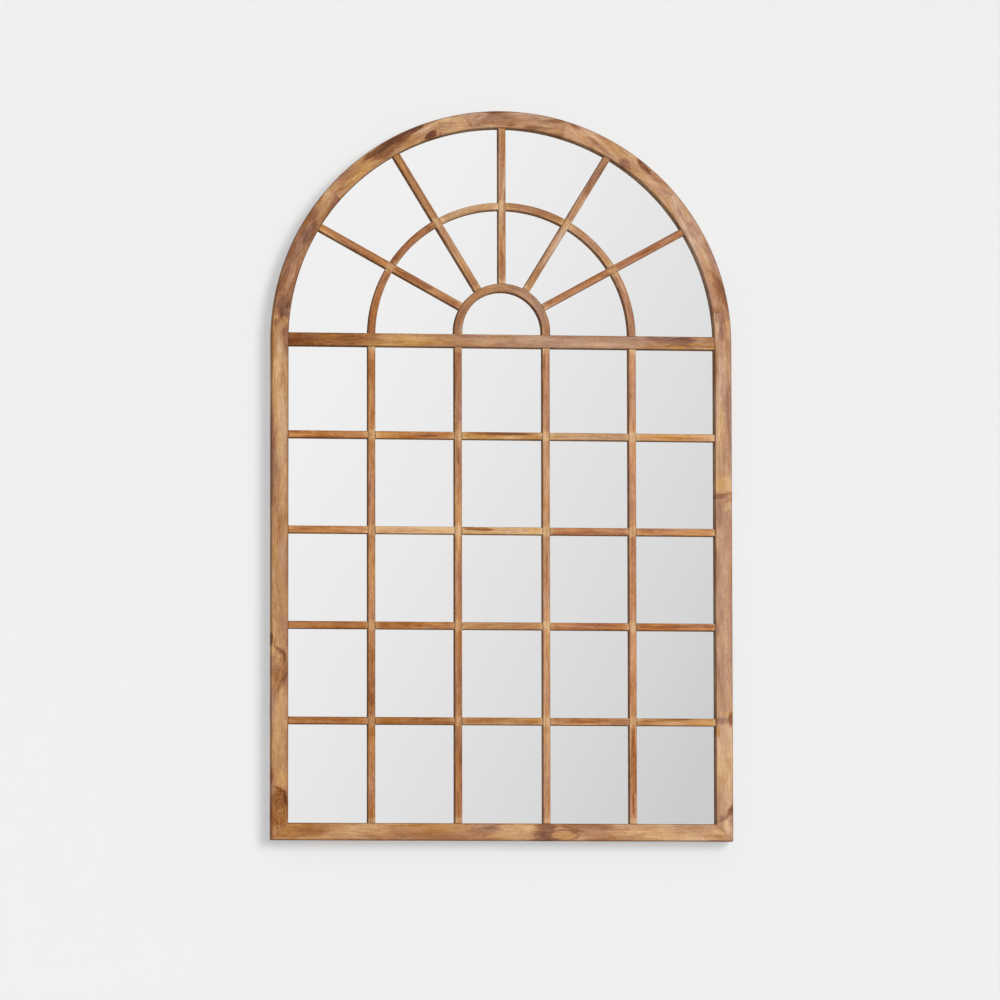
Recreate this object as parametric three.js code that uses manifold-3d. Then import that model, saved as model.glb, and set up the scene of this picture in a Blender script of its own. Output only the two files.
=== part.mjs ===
// Alcove mirror: an arched window-pane mirror in a warm brown hardwood frame, hung on two D-rings.
// Millimetres, +Z up. The front faces -Y and the wall is the plane y = 0 behind the frame.
// Heights below are measured from the frame's bottom edge. The group is then lowered, so that
// the origin lies on the wall, on the centre line, level with the hanger pivots.

import * as THREE from 'three';
import { mergeVertices } from 'three/addons/utils/BufferGeometryUtils.js';
import Module from 'manifold-3d';

const wasm = await Module();
wasm.setup();

// Outer frame
const overallWidth = 1220;
const springHeight = 1315;
const frameWidth = 45;
const frameDepth = 38;
const frameArris = 2.5;
const lipDepth = 22;
const rebateWidth = 15;
const wallGap = 8;

// Arch segments, jointed on radial lines that start a little above the springing
const stileHornAngle = 8;
const archSegmentCount = 5;

// Transom rail, level with the springing
const transomHeight = 34;

// Glazing bars
const barWidth = 19;
const barSetback = 4;
const barArris = 1.2;
const innerBarOffset = 116.5;
const outerBarOffset = 345.5;
const rowPitch = 250.5;
const rowCount = 4;

// Sunburst fanlight: its arcs stand over the bars below, on centres of their own
const hubWidth = 22;
const hubCentreRise = 25;
const fanCentreRise = 12;
const spokeCentreRise = 31;
const lowSpokeAngle = 28.85;
const highSpokeAngle = 58.6;

// Joints between the wooden pieces
const glueGap = 0.3;
const barTenonWidth = 11;
const barTenonThickness = 8;
const barTenonDepth = 5;
const footTenonDepth = 8;
const frameTenonWidth = 20;
const frameTenonThickness = 10;
const frameTenonDepth = 15;

// Mirror, backing board and the beads that hold them in the rebate
const glassThickness = 4;
const glassClearance = 3;
const boardThickness = 6;
const boardClearance = 1;
const beadWidth = 12;

// D-ring hangers on the backs of the stiles
const hangerDrop = 25;
const strapWidth = 16;
const strapThickness = 1.5;
const strapLength = 54;
const upperScrewDrop = 29;
const lowerScrewDrop = 46;
const ringWire = 4;
const ringSpan = 24;
const ringLeg = 8;
const ringCorner = 3;
const pivotClearance = 0.3;

// Strap screws
const screwShank = 3.5;
const screwHead = 7;
const screwHeadRise = 1.6;
const screwLength = 16;
const screwTip = 2;
const screwHoleClearance = 0.3;

// Wall bumpers at the foot of the stiles
const bumperDiameter = 18;
const bumperHeight = 60;
const bumperArris = 1.5;

// Accuracy of the curves, and how far a cutting shape runs past what it cuts
const chordError = 0.1;
const overrun = 5;

// Planes and edges worked out from the sizes above
const halfWidth = overallWidth / 2;
const openingHalfWidth = halfWidth - frameWidth;
const frameBack = -wallGap;
const frameFront = frameBack - frameDepth;
const glassFront = frameFront + lipDepth;
const glassBack = glassFront + glassThickness;
const boardBack = glassBack + boardThickness;
const barFront = frameFront + barSetback;
const transomFront = frameFront + frameArris;
const transomBottom = springHeight - transomHeight / 2;
const transomTop = springHeight + transomHeight / 2;
const barTenonMiddle = (barFront + glassFront) / 2;
const frameTenonMiddle = (frameFront + glassFront) / 2;
const stileCentre = (halfWidth + openingHalfWidth + rebateWidth) / 2;
const hangerHeight = springHeight - hangerDrop;

// Circles that the curved pieces follow
const archCircle = { centre: new THREE.Vector2(0, springHeight), radius: openingHalfWidth };
const fanCircle = { centre: new THREE.Vector2(0, springHeight + fanCentreRise), radius: outerBarOffset };
const hubCircle = { centre: new THREE.Vector2(0, springHeight + hubCentreRise), radius: innerBarOffset };
const spokeCentre = new THREE.Vector2(0, springHeight + spokeCentreRise);

// Materials, in the tones of the oiled wood
const wood = (tone) => new THREE.MeshStandardMaterial({ color: tone, roughness: 0.55, metalness: 0 });
const goldenTan = 0xcba073;
const midBrown = 0xb8835a;
const redBrown = 0xa8693f;
const pinkTan = 0xc39676;
const silvered = () => new THREE.MeshStandardMaterial({ color: 0xe6e6e6, roughness: 0.02, metalness: 1 });
const brownBoard = () => new THREE.MeshStandardMaterial({ color: 0x7a5c40, roughness: 0.85, metalness: 0 });
const zincSteel = () => new THREE.MeshStandardMaterial({ color: 0xb4b6b8, roughness: 0.35, metalness: 1 });
const greyRubber = () => new THREE.MeshStandardMaterial({ color: 0x4a4a48, roughness: 0.9, metalness: 0 });

const mirrorFrame = new THREE.Group();

const point = (x, z) => new THREE.Vector2(x, z);
const unit = (degrees) => {
  const angle = THREE.MathUtils.degToRad(degrees);
  return point(Math.cos(angle), Math.sin(angle));
};
const stepDegrees = (radius) => THREE.MathUtils.radToDeg(2 * Math.acos(1 - chordError / radius));

// Turns a closed geometry into a solid that can be joined and cut
function solid(geometry) {
  geometry.deleteAttribute('normal');
  geometry.deleteAttribute('uv');
  const merged = mergeVertices(geometry);
  return new wasm.Manifold(new wasm.Mesh({
    numProp: 3,
    vertProperties: new Float32Array(merged.attributes.position.array),
    triVerts: new Uint32Array(merged.index.array),
  }));
}

// Turns a solid back into a mesh and adds it to the mirror under its name
function add(name, body, material) {
  const mesh = body.getMesh();
  const geometry = new THREE.BufferGeometry();
  geometry.setAttribute('position', new THREE.BufferAttribute(mesh.vertProperties, 3));
  geometry.setIndex(new THREE.BufferAttribute(mesh.triVerts, 1));
  geometry.computeVertexNormals();
  const piece = new THREE.Mesh(geometry, material);
  piece.name = name;
  mirrorFrame.add(piece);
}

// Six times the volume that an indexed geometry encloses, negative where its faces point inwards
function signedVolume(positions, index) {
  const corners = [new THREE.Vector3(), new THREE.Vector3(), new THREE.Vector3()];
  let volume = 0;
  for (let i = 0; i < index.length; i += 3) {
    corners.forEach((corner, k) => corner.fromArray(positions, 3 * index[i + k]));
    volume += corners[0].dot(corners[1].cross(corners[2]));
  }
  return volume;
}

// Sweeps a section through stations that lie in the plane of the mirror. A section point is
// [across, y], and a station is a place with the vector that one unit across follows there.
function sweep(section, stations, closed = false) {
  const positions = stations.flatMap(({ place, across }) => section.flatMap(
    ([u, y]) => [place.x + u * across.x, y, place.y + u * across.y],
  ));
  const index = [];
  const sides = section.length;
  const spans = closed ? stations.length : stations.length - 1;
  for (let i = 0; i < spans; i += 1) {
    const here = i * sides;
    const next = ((i + 1) % stations.length) * sides;
    for (let k = 0; k < sides; k += 1) {
      const k2 = (k + 1) % sides;
      index.push(here + k, next + k, next + k2);
      index.push(here + k, next + k2, here + k2);
    }
  }
  if (!closed) {
    const outline = section.map(([u, y]) => new THREE.Vector2(u, y));
    const last = (stations.length - 1) * sides;
    const turn = THREE.ShapeUtils.isClockWise(outline) ? -1 : 1;
    for (const face of THREE.ShapeUtils.triangulateShape(outline, [])) {
      const [a, b, c] = turn > 0 ? face : [...face].reverse();
      index.push(a, b, c);
      index.push(last + c, last + b, last + a);
    }
  }
  if (signedVolume(positions, index) < 0) {
    index.reverse();
  }
  const geometry = new THREE.BufferGeometry();
  geometry.setAttribute('position', new THREE.Float32BufferAttribute(positions, 3));
  geometry.setIndex(index);
  return solid(geometry);
}

// Stations of a straight run and of an arc
function straightRun(start, end) {
  const along = end.clone().sub(start).normalize();
  const across = point(-along.y, along.x);
  return [{ place: start, across }, { place: end, across }];
}

function arcRun(circle, startDegrees, endDegrees) {
  const steps = Math.ceil(Math.abs(endDegrees - startDegrees) / stepDegrees(circle.radius));
  return Array.from({ length: steps + 1 }, (_, i) => {
    const across = unit(startDegrees + (endDegrees - startDegrees) * i / steps);
    return { place: circle.centre.clone().addScaledVector(across, circle.radius), across };
  });
}

// A section with its two front arrises eased
function easedSection(width, front, back, arris) {
  const half = width / 2;
  return [
    [-half, back],
    [-half, front + arris],
    [-half + arris, front],
    [half - arris, front],
    [half, front + arris],
    [half, back],
  ];
}

const barSection = easedSection(barWidth, barFront, glassFront, barArris);
const hubSection = easedSection(hubWidth, barFront, glassFront, barArris);
const transomSection = easedSection(transomHeight, transomFront, glassFront, barArris);

// Section of the outer frame, from the edge of the opening outwards, with the rebate behind its lip
const frameSection = [
  [0, glassFront],
  [0, frameFront + frameArris],
  [frameArris, frameFront],
  [frameWidth - frameArris, frameFront],
  [frameWidth, frameFront + frameArris],
  [frameWidth, frameBack],
  [rebateWidth, frameBack],
  [rebateWidth, glassFront],
];

// A tenon runs from a shoulder into the next piece, and back as far into its own
const barTenon = { width: barTenonWidth, thickness: barTenonThickness, middle: barTenonMiddle };
const frameTenon = { width: frameTenonWidth, thickness: frameTenonThickness, middle: frameTenonMiddle };

function tenonSection({ width, thickness, middle }, clearance) {
  const half = width / 2 + clearance;
  const reach = thickness / 2 + clearance;
  return [[-half, middle - reach], [half, middle - reach], [half, middle + reach], [-half, middle + reach]];
}

function tenon(size, shoulder, direction, depth, clearance = 0) {
  const start = shoulder.clone().addScaledVector(direction, -depth);
  const end = shoulder.clone().addScaledVector(direction, depth + clearance);
  return sweep(tenonSection(size, clearance), straightRun(start, end));
}

const left = point(-1, 0);
const right = point(1, 0);
const up = point(0, 1);
const down = point(0, -1);

// Every tenon is made with the mortise that takes it
function joint(size, shoulder, direction, depth) {
  return {
    tenon: tenon(size, shoulder, direction, depth),
    mortise: tenon(size, shoulder, direction, depth, glueGap),
  };
}

function assemble(body, tenonJoints, mortiseJoints) {
  const joined = tenonJoints.reduce((whole, each) => whole.add(each.tenon), body);
  return mortiseJoints.reduce((whole, each) => whole.subtract(each.mortise), joined);
}

// A plate of any outline, drawn as it is seen from the front, between two depths
function plate(shape, front, back) {
  const steps = Math.ceil(180 / stepDegrees(openingHalfWidth));
  const geometry = new THREE.ExtrudeGeometry(shape, {
    depth: back - front, bevelEnabled: false, curveSegments: steps,
  });
  geometry.rotateX(Math.PI / 2);
  geometry.translate(0, back, 0);
  return solid(geometry);
}

// The arched outline of the opening, grown by a margin
function archOutline(margin) {
  const reach = openingHalfWidth + margin;
  const foot = frameWidth - margin;
  const shape = new THREE.Shape();
  shape.moveTo(-reach, foot);
  shape.lineTo(reach, foot);
  shape.lineTo(reach, springHeight);
  shape.absarc(0, springHeight, reach, 0, Math.PI, false);
  shape.closePath();
  return shape;
}

const openingInside = plate(archOutline(-glueGap), frameFront - overrun, frameBack + overrun);

// A bar's own space with the glue gap round it, which trims the pieces that butt against it
function housing(start, end, width) {
  const half = width / 2 + glueGap;
  const section = [
    [-half, frameFront - overrun],
    [half, frameFront - overrun],
    [half, frameBack + overrun],
    [-half, frameBack + overrun],
  ];
  return sweep(section, straightRun(start, end));
}

// Where a ray from the spokes' centre crosses a circle
function crossing(direction, { centre, radius }) {
  const offset = spokeCentre.clone().sub(centre);
  const along = offset.dot(direction);
  const distance = -along + Math.sqrt(along * along - offset.lengthSq() + radius * radius);
  return spokeCentre.clone().addScaledVector(direction, distance);
}

const degreesOn = (place, { centre }) => THREE.MathUtils.radToDeg(place.clone().sub(centre).angle());

// Setting out
const barOffsets = [-outerBarOffset, -innerBarOffset, innerBarOffset, outerBarOffset];
const rowHeights = Array.from({ length: rowCount }, (_, i) => springHeight - (i + 1) * rowPitch);
const spokeDirections = [
  180 - lowSpokeAngle, 180 - highSpokeAngle, 90, highSpokeAngle, lowSpokeAngle,
].map(unit);
const hubOuterCircle = { centre: hubCircle.centre, radius: hubCircle.radius + hubWidth / 2 };

// Joints of the five spokes, at the hub and at the arch
const spokeHubJoints = spokeDirections.map((direction) => joint(
  barTenon, crossing(direction, hubOuterCircle), direction.clone().negate(), footTenonDepth,
));
const spokeArchJoints = spokeDirections.map((direction) => joint(
  barTenon, crossing(direction, archCircle), direction, footTenonDepth,
));

// Feet of the hub and of the fan arcs, and the ends of the vertical bars, in the rails
const hubFootJoints = [-innerBarOffset, innerBarOffset].map((x) => joint(
  barTenon, point(x, transomTop), down, footTenonDepth,
));
const fanFootOffset = Math.sqrt(fanCircle.radius ** 2 - (transomTop - fanCircle.centre.y) ** 2);
const fanFootJoints = [-fanFootOffset, fanFootOffset].map((x) => joint(
  barTenon, point(x, transomTop), down, footTenonDepth,
));
const barTopJoints = barOffsets.map((x) => joint(barTenon, point(x, transomBottom), up, footTenonDepth));
const barFootJoints = barOffsets.map((x) => joint(barTenon, point(x, frameWidth), down, footTenonDepth));
const transomJoints = [left, right].map((direction) => joint(
  frameTenon, point(direction.x * openingHalfWidth, springHeight), direction, frameTenonDepth,
));

// Cross bars fill each row between the stiles and the vertical bars
const columnEdges = [-openingHalfWidth, ...barOffsets, openingHalfWidth];
const crossBars = rowHeights.flatMap((height, row) => columnEdges.slice(1).map((rightLine, column) => {
  const leftLine = columnEdges[column];
  const atLeftStile = column === 0;
  const atRightStile = column === columnEdges.length - 2;
  const start = point(atLeftStile ? leftLine : leftLine + barWidth / 2, height);
  const end = point(atRightStile ? rightLine : rightLine - barWidth / 2, height);
  return {
    name: `cross_bar_row${row + 1}_col${column + 1}`,
    column,
    start,
    end,
    leftJoint: joint(barTenon, start, left, atLeftStile ? footTenonDepth : barTenonDepth),
    rightJoint: joint(barTenon, end, right, atRightStile ? footTenonDepth : barTenonDepth),
  };
}));

// The frame's own joints: mitres with a tenon at the foot, and radial joints round the arch
const archStart = 180 - stileHornAngle;
const segmentDegrees = (180 - 2 * stileHornAngle) / archSegmentCount;
const segmentEdges = Array.from({ length: archSegmentCount + 1 }, (_, i) => archStart - i * segmentDegrees);
const halfGapDegrees = THREE.MathUtils.radToDeg(glueGap / 2 / (openingHalfWidth + frameWidth / 2));
const archJoints = segmentEdges.map((degrees) => {
  const radial = unit(degrees);
  const middle = archCircle.centre.clone().addScaledVector(radial, openingHalfWidth + frameWidth / 2);
  return joint(frameTenon, middle, point(radial.y, -radial.x), frameTenonDepth);
});
const mitreJoints = [left, right].map((direction) => joint(
  frameTenon, point(direction.x * (openingHalfWidth + frameWidth / 2), frameWidth / 2), direction, frameTenonDepth,
));

// Hanger screws, two to a strap, and the pilot holes that take them
const screwDrops = { upper: upperScrewDrop, lower: lowerScrewDrop };
const strapBack = frameBack + strapThickness;
const screwProfile = [
  [0, strapBack + screwHeadRise],
  [screwHead / 4, strapBack + screwHeadRise],
  [screwHead / 2, strapBack + screwHeadRise / 2],
  [screwHead / 2, strapBack],
  [screwShank / 2, strapBack],
  [screwShank / 2, strapBack - screwLength + screwTip],
  [0, strapBack - screwLength],
].reverse().map(([radius, y]) => new THREE.Vector2(radius, y));

function roundSteps(radius) {
  return Math.max(12, 4 * Math.ceil(90 / stepDegrees(radius)));
}

function screw(x, z) {
  const geometry = new THREE.LatheGeometry(screwProfile, roundSteps(screwHead));
  geometry.translate(x, 0, z);
  return solid(geometry);
}

function bore(radius, x, z, front, back) {
  const geometry = new THREE.CylinderGeometry(radius, radius, back - front, roundSteps(radius));
  geometry.translate(x, (front + back) / 2, z);
  return solid(geometry);
}

const screwHole = (x, z) => bore(
  screwShank / 2 + screwHoleClearance, x, z, strapBack - screwLength - screwHoleClearance, frameBack + overrun,
);

// Stiles, with the curved horn that carries each past the springing, and the mitre at the foot
[left, right].forEach((side, i) => {
  const halfGap = point(0, glueGap / Math.SQRT2);
  const mitre = { place: point(side.x * openingHalfWidth, frameWidth).add(halfGap), across: point(side.x, -1) };
  const hornEnd = i === 0 ? archStart + halfGapDegrees : stileHornAngle - halfGapDegrees;
  const horn = arcRun(archCircle, i === 0 ? 180 : 0, hornEnd);
  const ownCrossJoints = crossBars.filter(({ column }) => column === (i === 0 ? 0 : columnEdges.length - 2))
    .map(({ leftJoint, rightJoint }) => (i === 0 ? leftJoint : rightJoint));
  const archTongue = i === 0 ? [archJoints[0]] : [];
  const archGroove = i === 0 ? [] : [archJoints[archSegmentCount]];
  const stile = assemble(
    sweep(frameSection, [mitre, ...horn]),
    archTongue,
    [mitreJoints[i], transomJoints[i], ...archGroove, ...ownCrossJoints],
  );
  const drilled = Object.values(screwDrops).reduce(
    (body, drop) => body.subtract(screwHole(side.x * stileCentre, hangerHeight - drop)),
    stile,
  );
  add(i === 0 ? 'left_stile' : 'right_stile', drilled, wood(i === 0 ? goldenTan : pinkTan));
});

// Bottom rail, mitred into both stiles, with the vertical bars stood in its top edge
const railEnds = [left, right].map((side) => ({
  place: point(side.x * openingHalfWidth, frameWidth),
  across: point(side.x, -1),
}));
add('bottom_rail', assemble(sweep(frameSection, railEnds), mitreJoints, barFootJoints), wood(midBrown));

// Arch segments, each with a tongue at its right end and a groove at its left
for (let i = 0; i < archSegmentCount; i += 1) {
  const run = arcRun(archCircle, segmentEdges[i] - halfGapDegrees, segmentEdges[i + 1] + halfGapDegrees);
  const segment = assemble(
    sweep(frameSection, run),
    [archJoints[i + 1]],
    [archJoints[i], ...spokeArchJoints],
  );
  add(`arch_segment_${i + 1}`, segment, wood(i % 2 === 0 ? midBrown : goldenTan));
}

// Transom rail, tenoned into the stiles and trimmed to the opening's edge
const transomRun = straightRun(point(-openingHalfWidth, springHeight), point(openingHalfWidth, springHeight));
add('transom_rail', assemble(
  sweep(transomSection, transomRun).intersect(openingInside),
  transomJoints,
  [...hubFootJoints, ...fanFootJoints, ...barTopJoints],
), wood(midBrown));

// Vertical bars run whole from the bottom rail to the transom
barOffsets.forEach((x, i) => {
  const ownCrossJoints = crossBars.flatMap(({ column, leftJoint, rightJoint }) => {
    if (column === i) {
      return [rightJoint];
    }
    return column === i + 1 ? [leftJoint] : [];
  });
  const body = sweep(barSection, straightRun(point(x, frameWidth + glueGap), point(x, transomBottom - glueGap)));
  add(
    `vertical_bar_${i + 1}`,
    assemble(body, [barFootJoints[i], barTopJoints[i]], ownCrossJoints),
    wood(i % 2 === 0 ? midBrown : goldenTan),
  );
});

// Cross bars, one to each pane's edge, with a stub tenon at both ends
crossBars.forEach(({ name, column, start, end, leftJoint, rightJoint }) => {
  const run = straightRun(point(start.x + glueGap, start.y), point(end.x - glueGap, end.y));
  add(name, assemble(sweep(barSection, run), [leftJoint, rightJoint], []), wood(column % 2 === 0 ? redBrown : midBrown));
});

// Fan arcs follow one circle and are let into the spokes that they meet
const fanDegrees = [
  180, ...spokeDirections.map((direction) => degreesOn(crossing(direction, fanCircle), fanCircle)), 0,
];
const fanTenonReach = THREE.MathUtils.radToDeg((barWidth / 2 - barTenonDepth) / fanCircle.radius);
const fanClearance = THREE.MathUtils.radToDeg(glueGap / fanCircle.radius);
const spokeHousings = spokeDirections.map((direction) => housing(
  spokeCentre, crossing(direction, archCircle), barWidth,
));
const transomHousing = housing(
  point(-halfWidth, springHeight), point(halfWidth, springHeight), transomHeight,
);
const fanArcs = fanDegrees.slice(1).map((endDegrees, i) => {
  const startDegrees = fanDegrees[i];
  const atLeftFoot = i === 0;
  const atRightFoot = i === spokeDirections.length;
  const tenonRun = (clearance) => arcRun(
    fanCircle,
    atLeftFoot ? (startDegrees + endDegrees) / 2 : startDegrees - fanTenonReach + clearance,
    atRightFoot ? (startDegrees + endDegrees) / 2 : endDegrees + fanTenonReach - clearance,
  );
  return {
    body: sweep(barSection, arcRun(fanCircle, startDegrees, endDegrees)),
    sideJoint: {
      tenon: sweep(tenonSection(barTenon, 0), tenonRun(0)),
      mortise: sweep(tenonSection(barTenon, glueGap), tenonRun(fanClearance)),
    },
    footJoints: [...(atLeftFoot ? [fanFootJoints[0]] : []), ...(atRightFoot ? [fanFootJoints[1]] : [])],
    housings: [
      atLeftFoot ? transomHousing : spokeHousings[i - 1],
      atRightFoot ? transomHousing : spokeHousings[i],
    ],
  };
});
fanArcs.forEach(({ body, sideJoint, footJoints, housings }, i) => {
  const coped = housings.reduce((whole, each) => whole.subtract(each), body);
  add(`fan_arc_${i + 1}`, assemble(coped, [sideJoint, ...footJoints], []), wood(i % 2 === 0 ? midBrown : goldenTan));
});

// Spokes run whole from the hub to the arch, coped to both curves
const hubDisc = bore(
  hubOuterCircle.radius + glueGap, hubCircle.centre.x, hubCircle.centre.y, frameFront - overrun, frameBack + overrun,
);
spokeDirections.forEach((direction, i) => {
  const run = straightRun(spokeCentre, crossing(direction, archCircle).addScaledVector(direction, overrun));
  const coped = sweep(barSection, run).subtract(hubDisc).intersect(openingInside);
  add(
    `spoke_${i + 1}`,
    assemble(coped, [spokeHubJoints[i], spokeArchJoints[i]], [fanArcs[i].sideJoint, fanArcs[i + 1].sideJoint]),
    wood(i % 2 === 0 ? midBrown : goldenTan),
  );
});

// Hub arc, one piece with short straight feet on the transom
const hubFeet = [-innerBarOffset, innerBarOffset].map((x) => ({
  place: point(x, transomTop + glueGap),
  across: point(Math.sign(x), 0),
}));
const hubRun = [hubFeet[0], ...arcRun(hubCircle, 180, 0), hubFeet[1]];
add('hub_arc', assemble(sweep(hubSection, hubRun), hubFootJoints, spokeHubJoints), wood(midBrown));

// One sheet of mirror lies behind every bar, with the backing board on it
add('mirror_glass', plate(archOutline(rebateWidth - glassClearance), glassFront, glassBack), silvered());
add('backing_board', plate(archOutline(rebateWidth - boardClearance), glassBack, boardBack), brownBoard());

// Beads in the rebate hold the board along the stiles and the bottom rail
const beadEdge = openingHalfWidth + rebateWidth - glueGap;
const beadFoot = frameWidth - rebateWidth + glueGap;
const beadSection = [
  [-beadWidth / 2, boardBack],
  [beadWidth / 2, boardBack],
  [beadWidth / 2, frameBack],
  [-beadWidth / 2, frameBack],
];
[left, right].forEach((side, i) => {
  const x = side.x * (beadEdge - beadWidth / 2);
  const run = straightRun(point(x, beadFoot), point(x, springHeight));
  add(i === 0 ? 'left_bead' : 'right_bead', sweep(beadSection, run), wood(redBrown));
});
const beadReach = beadEdge - beadWidth - glueGap;
const bottomBeadRun = straightRun(
  point(-beadReach, beadFoot + beadWidth / 2), point(beadReach, beadFoot + beadWidth / 2),
);
add('bottom_bead', sweep(beadSection, bottomBeadRun), wood(redBrown));

// D-ring hangers. The strap folds round the ring's straight side, and the ring hangs over it
const boreRadius = ringWire / 2 + pivotClearance;
const knuckleRadius = boreRadius + strapThickness;
const pivotDepth = frameBack + knuckleRadius;

function acrossBar(radius, length, x) {
  const geometry = new THREE.CylinderGeometry(radius, radius, length, roundSteps(radius));
  geometry.rotateZ(Math.PI / 2);
  geometry.translate(x, pivotDepth, hangerHeight);
  return solid(geometry);
}

function hangerStrap(x) {
  const half = strapWidth / 2;
  const shape = new THREE.Shape();
  shape.moveTo(x - half, hangerHeight);
  shape.lineTo(x - half, hangerHeight - strapLength + half);
  shape.absarc(x, hangerHeight - strapLength + half, half, Math.PI, 2 * Math.PI, false);
  shape.lineTo(x + half, hangerHeight);
  shape.closePath();
  const geometry = new THREE.ExtrudeGeometry(shape, {
    depth: strapThickness, bevelEnabled: false, curveSegments: roundSteps(half) / 2,
  });
  geometry.rotateX(Math.PI / 2);
  geometry.translate(0, strapBack, 0);
  const folded = solid(geometry)
    .add(acrossBar(knuckleRadius, strapWidth, x))
    .subtract(acrossBar(boreRadius, strapWidth + 2 * overrun, x));
  return Object.values(screwDrops).reduce(
    (body, drop) => body.subtract(screwHole(x, hangerHeight - drop)),
    folded,
  );
}

function hangerRing(x) {
  const half = ringSpan / 2;
  const corner = (side) => ({
    centre: point(x + side * (half - ringCorner), hangerHeight - ringCorner), radius: ringCorner,
  });
  const bow = { centre: point(x, hangerHeight - ringLeg), radius: half };
  const stations = [...arcRun(corner(1), 90, 0), ...arcRun(bow, 0, -180), ...arcRun(corner(-1), 180, 90)];
  const wireSteps = 8;
  const section = Array.from({ length: wireSteps }, (_, i) => {
    const around = unit((i + 1 / 2) * 360 / wireSteps).multiplyScalar(ringWire / 2);
    return [around.x, pivotDepth + around.y];
  });
  return sweep(section, stations, true);
}

[left, right].forEach((side, i) => {
  const name = i === 0 ? 'left' : 'right';
  const x = side.x * stileCentre;
  add(`${name}_hanger_strap`, hangerStrap(x), zincSteel());
  add(`${name}_hanger_ring`, hangerRing(x), zincSteel());
  Object.entries(screwDrops).forEach(([level, drop]) => {
    add(`${name}_strap_screw_${level}`, screw(x, hangerHeight - drop), zincSteel());
  });
});

// Rubber bumpers keep the foot of the frame off the wall
const bumperProfile = [
  [0, frameBack],
  [bumperDiameter / 2, frameBack],
  [bumperDiameter / 2, -bumperArris],
  [bumperDiameter / 2 - bumperArris, 0],
  [0, 0],
].map(([radius, y]) => new THREE.Vector2(radius, y));
[left, right].forEach((side, i) => {
  const geometry = new THREE.LatheGeometry(bumperProfile, roundSteps(bumperDiameter / 2));
  geometry.translate(side.x * stileCentre, 0, bumperHeight);
  add(i === 0 ? 'left_wall_bumper' : 'right_wall_bumper', solid(geometry), greyRubber());
});

mirrorFrame.position.z = -hangerHeight;

export default mirrorFrame;
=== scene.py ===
import math

import bmesh
import bpy
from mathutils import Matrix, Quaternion, Vector


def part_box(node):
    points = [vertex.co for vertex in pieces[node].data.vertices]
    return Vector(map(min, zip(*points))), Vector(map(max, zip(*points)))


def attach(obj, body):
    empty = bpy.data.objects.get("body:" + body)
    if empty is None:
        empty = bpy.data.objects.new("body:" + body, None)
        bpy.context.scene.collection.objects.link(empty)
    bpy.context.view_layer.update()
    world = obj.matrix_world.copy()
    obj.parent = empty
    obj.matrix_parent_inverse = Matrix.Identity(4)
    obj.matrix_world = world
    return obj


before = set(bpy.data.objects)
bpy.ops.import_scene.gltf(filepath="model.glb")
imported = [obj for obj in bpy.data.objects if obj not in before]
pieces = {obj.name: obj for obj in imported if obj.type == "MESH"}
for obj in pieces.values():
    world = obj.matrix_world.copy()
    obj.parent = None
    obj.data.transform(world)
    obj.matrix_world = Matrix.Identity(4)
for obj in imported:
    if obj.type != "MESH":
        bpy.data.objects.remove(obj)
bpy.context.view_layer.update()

scene = bpy.context.scene
scene.view_settings.view_transform = "Standard"


# Viewpoint. The mirror is seen from far off, a little from the left and from below, so that
# the left sides and the undersides of its bars just show.
sight_distance = 20.0
sight_azimuth = math.radians(-7.1)
sight_elevation = math.radians(-4.8)
sight_target = Vector((-0.0070, -0.046, -0.3953))
seen_width = 2.628
sight_roll = math.radians(-0.08)

camera = bpy.data.objects.new("Camera", bpy.data.cameras.new("Camera"))
scene.collection.objects.link(camera)
scene.camera = camera
sight_back = Vector((
    math.sin(sight_azimuth) * math.cos(sight_elevation),
    -math.cos(sight_azimuth) * math.cos(sight_elevation),
    math.sin(sight_elevation),
))
camera.location = sight_target + sight_back * sight_distance
camera.rotation_mode = "QUATERNION"
camera.rotation_quaternion = (-sight_back).to_track_quat("-Z", "Y")
camera.rotation_quaternion @= Quaternion((0, 0, 1), sight_roll)
camera.data.sensor_width = 36.0
camera.data.lens = camera.data.sensor_width * sight_distance / seen_width
camera.data.clip_end = 200.0


# Room. A plain pale wall that the mirror hangs on, a pale floor below the picture and soft light
# all round. One soft lamp stands in front, above and to the right, a fill from the front casts no
# shadow, and a lamp behind the wall lights the back, as the wall can't be seen from there.
floor_height = -2.04
room_reach = 40.0
wall_shade = 0.871
floor_shade = 0.9
floor_bounce = 0.35
unevenness = 0.005
soft_light = 0.20
ceiling_light = 0.35
rear_light = 1.1
# Name, strength, the side it shines from, and whether it casts shadows
lamps = [
    ("soft lamp", 1.28, (0.52, -0.80, 0.30), True), ("front fill", 1.26, (0.0, -1.0, 0.0), False),
    ("rear lamp", 1.6, (-0.35, 0.82, 0.45), True),
]
lamp_spread = math.radians(30)
spring_line = 0.025
outer_radius = 0.61
bottom_edge = -1.29
# Behind the mirror the wall lets light through, up to this far inside the mirror's outline
wall_overlap = 0.004


def add_node(tree, kind, inputs=(), **settings):
    made = tree.nodes.new("ShaderNode" + kind)
    for name, value in settings.items():
        setattr(made, name, value)
    for name, value in dict(inputs).items():
        if isinstance(value, bpy.types.NodeSocket):
            tree.links.new(value, made.inputs[name])
        else:
            made.inputs[name].default_value = value
    return made


def calculate(tree, operation, a, b=0.0, c=0.0, clamp=False):
    return add_node(tree, "Math", {0: a, 1: b, 2: c}, operation=operation, use_clamp=clamp).outputs[0]


def add(tree, a, b):
    return calculate(tree, "ADD", a, b)


def subtract(tree, a, b):
    return calculate(tree, "SUBTRACT", a, b)


def multiply(tree, a, b):
    return calculate(tree, "MULTIPLY", a, b)


def multiply_add(tree, a, b, c, clamp=False):
    return calculate(tree, "MULTIPLY_ADD", a, b, c, clamp)


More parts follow.
